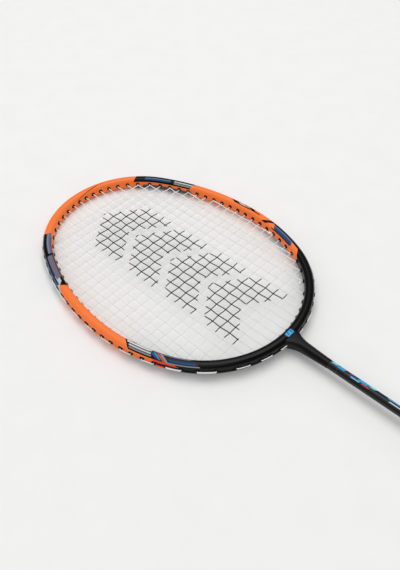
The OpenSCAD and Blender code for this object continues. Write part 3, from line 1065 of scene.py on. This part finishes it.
capLow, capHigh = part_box("cone_cap")
wrapLow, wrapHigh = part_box("grip_wrap")
tapeLow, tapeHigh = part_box("closing_tape")
buttLow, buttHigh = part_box("butt_cap")
endLow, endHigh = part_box("butt_badge")


def octagonRing(halfW, halfH, bevel, y, corner):
    # eight-sided ring with softened corners, so that a wrapped skin looks stretched over it
    perSide, perCorner = 10, 3
    flatW, flatH = halfW - bevel, halfH - bevel
    points = [(halfW, flatH), (flatW, halfH), (-flatW, halfH), (-halfW, flatH),
              (-halfW, -flatH), (-flatW, -halfH), (flatW, -halfH), (halfW, -flatH)]
    ring = []
    for k in range(8):
        here = Vector((*points[k], 0))
        before, after = Vector((*points[k - 1], 0)), Vector((*points[(k + 1) % 8], 0))
        start = here + (before - here).normalized() * corner
        end = here + (after - here).normalized() * corner
        nextHere = after + (here - after).normalized() * corner
        for n in range(perCorner + 1):
            t = n / (perCorner + 1)
            ring.append(start.lerp(here, t).lerp(here.lerp(end, t), t))
        for n in range(perSide):
            ring.append(end.lerp(nextHere, n / perSide))
    return [Vector((p.x, y, p.y)) for p in ring]


def ringRun(ring):
    run = [0.0]
    for a, b in zip(ring, ring[1:] + ring[:1]):
        run.append(run[-1] + (b - a).length)
    return run[:-1], run[-1]


core = {"halfW": 9.8 * mm, "halfH": 11.2 * mm, "bevel": 5.4 * mm}
diagonal = 2 - math.sqrt(2)


def coreRing(grow, y, corner):
    bevel = core["bevel"] + grow * diagonal
    return octagonRing(core["halfW"] + grow, core["halfH"] + grow, bevel, y, corner)


wrap = {
    "outer": 2.1 * mm,
    "inner": 0.65 * mm,
    "pitch": 23.5 * mm,
    "overlap": 4.0 * mm,
    "edgeRound": 0.5 * mm,
    "step": 0.42 * mm,
    "crown": 0.16 * mm,
    "rowStep": 0.75 * mm,
    "corner": 1.7 * mm,
    "sinkReach": 1.0 * mm,
    "endSink": 0.35 * mm,
    "endRound": 0.9 * mm,
    "uvMargin": 1.4 * mm,
    "rough": 0.62,
    "grain": 2200.0,
    "mottle": 0.22,
    "scuff": 0.35,
    "scuffColour": srgb(70, 70, 72),
    "holePitch": 3.1 * mm,
    "holeRadius": 0.42 * mm,
    "holesFrom": 5.25 * mm,
    "holesShort": 1.95 * mm,
}


def tapeHeight(phase):
    # how far the tape stands below its highest line, from 0 at its lapping edge to 1 at its far edge
    edge = phase * wrap["pitch"]
    if edge < wrap["edgeRound"]:
        return wrap["step"] * (1 - ease(edge / wrap["edgeRound"]))
    lap = ease((edge - wrap["edgeRound"]) / wrap["overlap"])
    middle = math.sin(math.pi * min(1.0, edge / wrap["pitch"]))
    return wrap["step"] * lap * 0.9 - wrap["crown"] * middle * 0.6 + wrap["crown"] * 0.6


def wrapMesh():
    y0, y1 = wrapLow[1], wrapHigh[1]
    rows = int((y1 - y0) / wrap["rowStep"])
    outerRings, along = [], []
    for i in range(rows + 1):
        y = y0 + (y1 - y0) * i / rows
        full = coreRing(wrap["outer"], y, wrap["corner"])
        slim = coreRing(wrap["outer"] - wrap["sinkReach"], y, wrap["corner"])
        ring = []
        for j, (far, near) in enumerate(zip(full, slim)):
            turn = j / len(full)
            phase = ((y - y0) / wrap["pitch"] - turn) % 1.0
            sink = tapeHeight(phase)
            end = min(y - y0, y1 - y)
            sink += wrap["endSink"] * (1 - ease(end / wrap["endRound"]))
            ring.append(far.lerp(near, min(1.0, sink / wrap["sinkReach"])))
        outerRings.append(ring)
        along.append(y)
    run, girth = ringRun(coreRing(wrap["outer"], 0, wrap["corner"]))
    rings = [coreRing(wrap["inner"], y0, wrap["corner"])] + outerRings + [
        coreRing(wrap["inner"], y1, wrap["corner"])]
    store = ([], [], [])
    first, last = y0 - wrap["uvMargin"], y1 + wrap["uvMargin"]
    addGrid(store, rings, along=True, uAlong=[first] + along + [last], vAround=run,
            uEnd=first, vEnd=girth)
    return store, girth


def gripMaterial(girth):
    material, tree, body = startMaterial("gripWrap", wrap["rough"])
    body.inputs["Sheen Weight"].default_value = 0.25
    body.inputs["Sheen Roughness"].default_value = 0.4
    along, around = unrolled(tree)
    turns = over(tree, around, girth)
    shifted = minus(tree, over(tree, minus(tree, along, wrapLow[1]), wrap["pitch"]), turns)
    phase = calc(tree, "FRACT", plus(tree, shifted, 4.0))
    across = times(tree, phase, wrap["pitch"])
    slope = wrap["pitch"] / girth
    runAlong = plus(tree, around, times(tree, along, slope))
    holes = useGroup(tree, holeGroup, {"Along": across, "Around": runAlong, "Pitch": wrap["holePitch"],
                                       "Radius": wrap["holeRadius"]})
    clear = within(tree, across, wrap["holesFrom"], wrap["pitch"] - wrap["holesShort"], 0.05 * mm)
    hole = times(tree, holes["Mask"], clear)
    # a strip along each lapping edge is darkened: painted shade in the step between turns of the wrap
    lapShade = ramp(tree, across, 0.0, 0.8 * mm, 1.0, 0.0)
    leather = put(tree, "ShaderNodeTexVoronoi", {"Scale": 1500.0, "Vector": objectPlace(tree)})
    base = blendColour(tree, leather.outputs["Distance"], srgb(34, 34, 36), srgb(21, 21, 22))
    # the punched holes are real, but their near-black colour is painted shade for the dark inside each
    # hole
    holeShaded = blendColour(tree, hole, base, srgb(7, 7, 8))
    colour = blendColour(tree, times(tree, lapShade, 0.7), holeShaded, srgb(9, 9, 10))
    height = dress(tree, body, colour, wrap)
    skin = plus(tree, times(tree, leather.outputs["Distance"], 0.5), times(tree, height, 0.3))
    addBump(tree, body, minus(tree, skin, times(tree, hole, 2.2)), 0.00012)
    return material


store, wrapGirth = wrapMesh()
makePiece("gripWrap", store, gripMaterial(wrapGirth), ["grip_wrap"], creaseDeg=45)
print("grip done")


tape = {"grow": 2.38 * mm, "inner": 2.15 * mm, "corner": 1.8 * mm, "rows": 30, "ripple": 0.05 * mm,
        "sinkReach": 0.5 * mm, "lapStep": 0.06 * mm, "endSink": 0.12 * mm, "endRound": 0.4 * mm,
        "rough": 0.45, "grain": 1500.0, "mottle": 0.15, "scuff": 0.3}


def tapeMesh():
    y0, y1 = tapeLow[1] + 0.05 * mm, tapeHigh[1]
    rings, along = [coreRing(tape["inner"], y0, tape["corner"])], [y0 - 0.2 * mm]
    for i in range(tape["rows"] + 1):
        y = y0 + (y1 - y0) * i / tape["rows"]
        wide = coreRing(tape["grow"], y, tape["corner"])
        slim = coreRing(tape["grow"] - tape["sinkReach"], y, tape["corner"])
        ring = []
        for j, (far, near) in enumerate(zip(wide, slim)):
            a = 2 * math.pi * j / len(wide)
            fold = math.sin(7 * a + 3 * math.sin(2 * a)) * math.sin(y / (1.3 * mm))
            pucker = tape["ripple"] * (0.5 + 0.5 * fold)
            edge = tape["endSink"] * (1 - ease(min(y - y0, y1 - y) / tape["endRound"]))
            lap = tape["lapStep"] if 0.30 < j / len(wide) < 0.42 else 0.0
            ring.append(far.lerp(near, (pucker + edge + tape["lapStep"] - lap) / tape["sinkReach"]))
        rings.append(ring)
        along.append(y)
    rings.append(coreRing(tape["inner"], y1, tape["corner"]))
    along.append(y1 + 0.2 * mm)
    run, girth = ringRun(coreRing(tape["grow"], 0, tape["corner"]))
    store = ([], [], [])
    addGrid(store, rings, along=True, uAlong=along, vAround=run, uEnd=along[0], vEnd=girth)
    return store


def tapeMaterial():
    material, tree, body = startMaterial("closingTapeCloth", tape["rough"])
    along, around = unrolled(tree)
    weave = useGroup(tree, weaveGroup, {"Along": along, "Around": around, "Pitch": 0.5 * mm})
    base = blendColour(tree, weave["Height"], srgb(42, 42, 45), srgb(58, 58, 62))
    middle = (tapeLow[1] + tapeHigh[1]) / 2 / mm
    colour = paintChain(tree, base, along, around, [
        ("orange", middle - 3.2, middle - 1.6, -1, 120, 0.0),
        ("silver", middle + 1.2, middle + 1.8, -1, 120, 0.0)])
    height = dress(tree, body, colour, tape)
    addBump(tree, body, plus(tree, times(tree, weave["Height"], 0.8), height), 0.00004)
    return material


makePiece("closingTape", tapeMesh(), tapeMaterial(), ["closing_tape"], creaseDeg=45)


cap = {"baseRadius": (capHigh[0] - capLow[0]) / 2, "topRadius": 5.0 * mm, "bore": 3.55 * mm, "sides": 72,
       "ribs": 5, "ribDepth": 0.28 * mm, "ribStart": 9 * mm, "ribPitch": 2.6 * mm,
       "footHeight": 3.0 * mm, "footStep": 0.1 * mm, "coneSteps": 90}


def capMesh():
    y0, length = capLow[1], capHigh[1] - capLow[1]
    big, small = cap["baseRadius"], cap["topRadius"]
    profile = [(cap["bore"], 0.0), (big - 0.5 * mm, 0.0), (big - 0.12 * mm, 0.15 * mm), (big, 0.5 * mm),
               (big, 2.6 * mm), (big - cap["footStep"], cap["footHeight"])]
    for k in range(1, cap["coneSteps"] + 1):
        s = k / cap["coneSteps"]
        y = cap["footHeight"] + (length - 4.2 * mm) * s
        radius = big - cap["footStep"] - (big - small - 0.9 * mm) * s
        ring = (y - cap["ribStart"]) / cap["ribPitch"]
        if 0 <= ring < cap["ribs"]:
            radius -= cap["ribDepth"] * max(0.0, math.sin(2 * math.pi * (ring % 1.0))) ** 0.5
        profile.append((radius, y))
    profile += [(small + 0.4 * mm, length - 0.5 * mm), (small, length - 0.1 * mm),
                (small - 0.3 * mm, length), (cap["bore"], length)]
    store = ([], [], [])
    lathe(store, profile, cap["sides"], Vector((0, y0, 0)), Vector((0, 1, 0)), Vector((1, 0, 0)))
    return store


capPlastic = plainMaterial("capPlastic", {"colour": srgb(24, 24, 26), "rough": 0.38, "grain": 1100.0,
                                          "mottle": 0.12, "scuff": 0.35, "bump": 0.00004,
                                          "scuffColour": srgb(86, 86, 90)})
makePiece("coneCap", capMesh(), capPlastic, ["cone_cap"], creaseDeg=32)


butt = {"rimGrow": 3.8 * mm, "skirtGrow": 1.65 * mm, "rimEnd": 4.2 * mm, "flareEnd": 8.5 * mm,
        "round": 1.3 * mm, "corner": 1.6 * mm, "recess": 8.1 * mm, "recessDepth": 0.55 * mm,
        "floor": 5.0 * mm, "inner": 0.08 * mm}


def buttMesh():
    y1 = buttHigh[1]
    stations = []
    for k in range(9):                   # rounded back edge
        a = math.radians(90 * k / 8)
        stations.append((butt["rimGrow"] - butt["round"] * (1 - math.sin(a)),
                         butt["round"] * (1 - math.cos(a))))
    stations.append((butt["rimGrow"], butt["rimEnd"]))
    for k in range(1, 13):               # hollow flare from the rim to the skirt
        t = k / 12
        stations.append((butt["rimGrow"] - (butt["rimGrow"] - butt["skirtGrow"]) * ease(t),
                         butt["rimEnd"] + (butt["flareEnd"] - butt["rimEnd"]) * t))
    stations += [(butt["skirtGrow"], y1 - 0.5 * mm), (butt["skirtGrow"] - 0.12 * mm, y1 - 0.12 * mm),
                 (butt["skirtGrow"] - 0.4 * mm, y1), (butt["inner"], y1), (butt["inner"], butt["floor"])]
    rings = [coreRing(grow, y, butt["corner"]) for grow, y in stations]
    flatRing = rings[0]
    edge = []
    for p in flatRing:                   # the end face runs in to a round recess
        a = math.atan2(p.z, p.x)
        edge.append(Vector((butt["recess"] * math.cos(a), 0.0, butt["recess"] * math.sin(a))))
    step = [Vector((p.x, butt["recessDepth"], p.z)) for p in edge]
    between = [p.lerp(q, 0.5) for p, q in zip(flatRing, edge)]
    lead = [step, [p.lerp(q, 0.12) for p, q in zip(edge, step)], edge, between]
    along = [0.0]
    rings = lead + rings
    for a, b in zip(rings, rings[1:]):
        along.append(along[-1] + (b[0] - a[0]).length)
    run, girth = ringRun(flatRing)
    store = ([], [], [])
    addGrid(store, rings, uAlong=along, vAround=run, vEnd=girth)
    return store


buttPlastic = plainMaterial("buttPlastic", {"colour": srgb(27, 27, 29), "rough": 0.34, "grain": 1000.0,
                                            "mottle": 0.12, "scuff": 0.45, "bump": 0.00004,
                                            "scuffColour": srgb(92, 92, 96)})
makePiece("buttCap", buttMesh(), buttPlastic, ["butt_cap"], creaseDeg=38)


def endBadgeMesh():
    # a thin disc with two pressed rings
    radius = (endHigh[0] - endLow[0]) / 2
    hub, bevel, steps = 0.02 * mm, 0.25 * mm, 24
    back, thick = endHigh[1], endHigh[1] - endLow[1]
    profile = [(hub, 0.0), (radius - 0.05 * mm, 0.0), (radius, 0.05 * mm), (radius, thick * 0.6),
               (radius - bevel, thick * 0.95)]
    for k in range(1, steps):
        s = k / steps
        r = (radius - bevel) * (1 - s)
        pressed = 0.5 < r / radius < 0.58 or 0.78 < r / radius < 0.84
        dip = 0.05 * mm if pressed else 0.0
        profile.append((max(r, hub), thick * 0.95 + 0.02 * mm * math.sin(math.pi * s / 2) - dip))
    store = ([], [], [])
    lathe(store, profile, 64, Vector((0, back, 0)), Vector((0, -1, 0)), Vector((1, 0, 0)))
    return store


def endBadgeMaterial():
    look = {"rough": 0.28, "grain": 1500.0, "mottle": 0.06, "scuff": 0.5,
            "scuffColour": srgb(120, 120, 122)}
    material, tree, body = startMaterial("endBadgeFoil", look["rough"], Coat_Weight=0.5)
    parts = put(tree, "ShaderNodeSeparateXYZ", {0: objectPlace(tree)})
    x, z = parts.outputs[0], parts.outputs[2]
    far = calc(tree, "SQRT", plus(tree, times(tree, x, x), times(tree, z, z)))
    orangeRing = within(tree, far, 4.15 * mm, 6.15 * mm, 0.05 * mm)
    colour = blendColour(tree, orangeRing, srgb(176, 178, 182), paint["orange"])
    dark = ramp(tree, far, 2.3 * mm, 2.2 * mm)
    colour = blendColour(tree, dark, colour, paint["black"])
    height = dress(tree, body, colour, look)
    brushed = brushedNoise(tree, (250.0, 1.0, 6000.0), 2.0)
    addBump(tree, body, plus(tree, times(tree, brushed, 0.6), height), 0.00002)
    return material


makePiece("endBadge", endBadgeMesh(), endBadgeMaterial(), ["butt_badge"], creaseDeg=45)
print("handle done")


# carried-over inner pieces

def woodMaterial():
    look = {"rough": 0.6, "grain": 500.0, "mottle": 0.15, "scuff": 0.15,
            "scuffColour": srgb(150, 118, 80)}
    material, tree, body = startMaterial("handleWood", look["rough"])
    where = objectPlace(tree)
    stretched = put(tree, "ShaderNodeMapping", {"Vector": where, "Scale": (1.0, 0.06, 1.0)})
    growth = put(tree, "ShaderNodeTexNoise",
                 {"Vector": stretched.outputs[0], "Scale": 420.0, "Detail": 5.0})
    line = calc(tree, "SINE", times(tree, growth.outputs[0], 46.0))
    colour = blendColour(tree, ramp(tree, line, -1.0, 1.0), srgb(214, 180, 132), srgb(186, 146, 98))
    height = dress(tree, body, colour, look)
    addBump(tree, body, plus(tree, growth.outputs[0], times(tree, height, 0.3)), 0.00008)
    return material


def foamMaterial():
    look = {"rough": 0.8, "grain": 1800.0, "mottle": 0.2, "scuff": 0.1,
            "scuffColour": srgb(160, 160, 158)}
    material, tree, body = startMaterial("underlayFoam", look["rough"])
    cells = put(tree, "ShaderNodeTexVoronoi", {"Scale": 2200.0, "Vector": objectPlace(tree)})
    colour = blendColour(tree, cells.outputs["Distance"], srgb(150, 150, 148), srgb(206, 206, 202))
    height = dress(tree, body, colour, look)
    addBump(tree, body, plus(tree, cells.outputs["Distance"], height), 0.0001)
    return material


def metalMaterial(name, colour, rough, brushScale):
    look = {"rough": rough, "grain": 1500.0, "mottle": 0.08, "scuff": 0.4,
            "scuffColour": srgb(110, 110, 112)}
    material, tree, body = startMaterial(name, rough, Metallic=1.0)
    brushed = brushedNoise(tree, brushScale, 3.0)
    base = blendColour(tree, brushed, colour, srgb(150, 152, 156))
    height = dress(tree, body, base, look)
    addBump(tree, body, plus(tree, brushed, height), 0.00003)
    return material


steel = metalMaterial("platedSteel", srgb(205, 206, 208), 0.3, (400.0, 400.0, 4000.0))
forged = metalMaterial("jointAlloy", srgb(188, 190, 194), 0.42, (3000.0, 200.0, 3000.0))
for node, material in (("t_joint", forged), ("handle_core", woodMaterial()),
                       ("grip_underlay", foamMaterial()), ("grip_tack", steel), ("cap_nails", steel)):
    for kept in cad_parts[node].material_slots:
        kept.material = material
print("inner pieces done")


# floor and light

def addFloor():
    # the racket rests on the butt cap's rim and on the head's tip
    rest = {"buttY": 2 * mm, "buttZ": buttLow[2], "tipY": tipY - 4 * mm, "tipZ": -hoop["tubeHeight"] / 2}
    tilt = math.atan2(rest["tipZ"] - rest["buttZ"], rest["tipY"] - rest["buttY"])
    mesh = bpy.data.meshes.new("floor")
    half, cells = studio["floorSize"] / 2, 12
    grid = [(-half + 2 * half * i / cells, -half + 2 * half * j / cells) for j in range(cells + 1)
            for i in range(cells + 1)]
    row = cells + 1
    faces = [(j * row + i, j * row + i + 1, (j + 1) * row + i + 1, (j + 1) * row + i)
             for j in range(cells) for i in range(cells)]
    mesh.from_pydata([(x, y, 0.0) for x, y in grid], [], faces)
    floor = bpy.data.objects.new("floor", mesh)
    bpy.context.collection.objects.link(floor)
    floor.rotation_euler = (tilt, 0, 0)
    floor.location = (0, rest["buttY"], rest["buttZ"] - 0.1 * mm)
    material, tree, body = startMaterial("floorPaper", 0.85)
    paper = put(tree, "ShaderNodeTexNoise", {"Scale": 220.0, "Detail": 3.0})
    shade = ramp(tree, paper.outputs[0], 0.3, 0.7)
    tree.links.new(blendColour(tree, shade, studio["floorColour"], (0.9, 0.9, 0.895, 1)),
                   body.inputs["Base Color"])
    body.inputs["Specular IOR Level"].default_value = 0.1
    mesh.materials.append(material)


def addSky():
    world = bpy.data.worlds.new("studioSky")
    bpy.context.scene.world = world
    world.use_nodes = True
    tree = world.node_tree
    back = tree.nodes["Background"]
    back.inputs["Color"].default_value = studio["sky"]
    gloss = put(tree, "ShaderNodeLightPath").outputs["Is Glossy Ray"]      # dimmer in reflections
    dimmed = ramp(tree, gloss, 0.0, 1.0, studio["skyPower"], studio["skyPower"] * studio["skyInGloss"])
    tree.links.new(dimmed, back.inputs["Strength"])


addFloor()
addSky()
addAreaLight("keyLight", studio["keyPlace"], studio["keySize"], studio["keyPower"], studio["aim"])
addAreaLight("fillLight", studio["fillPlace"], studio["fillSize"], studio["fillPower"], studio["aim"])
bpy.context.scene.view_settings.view_transform = "Standard"
print("stage done")
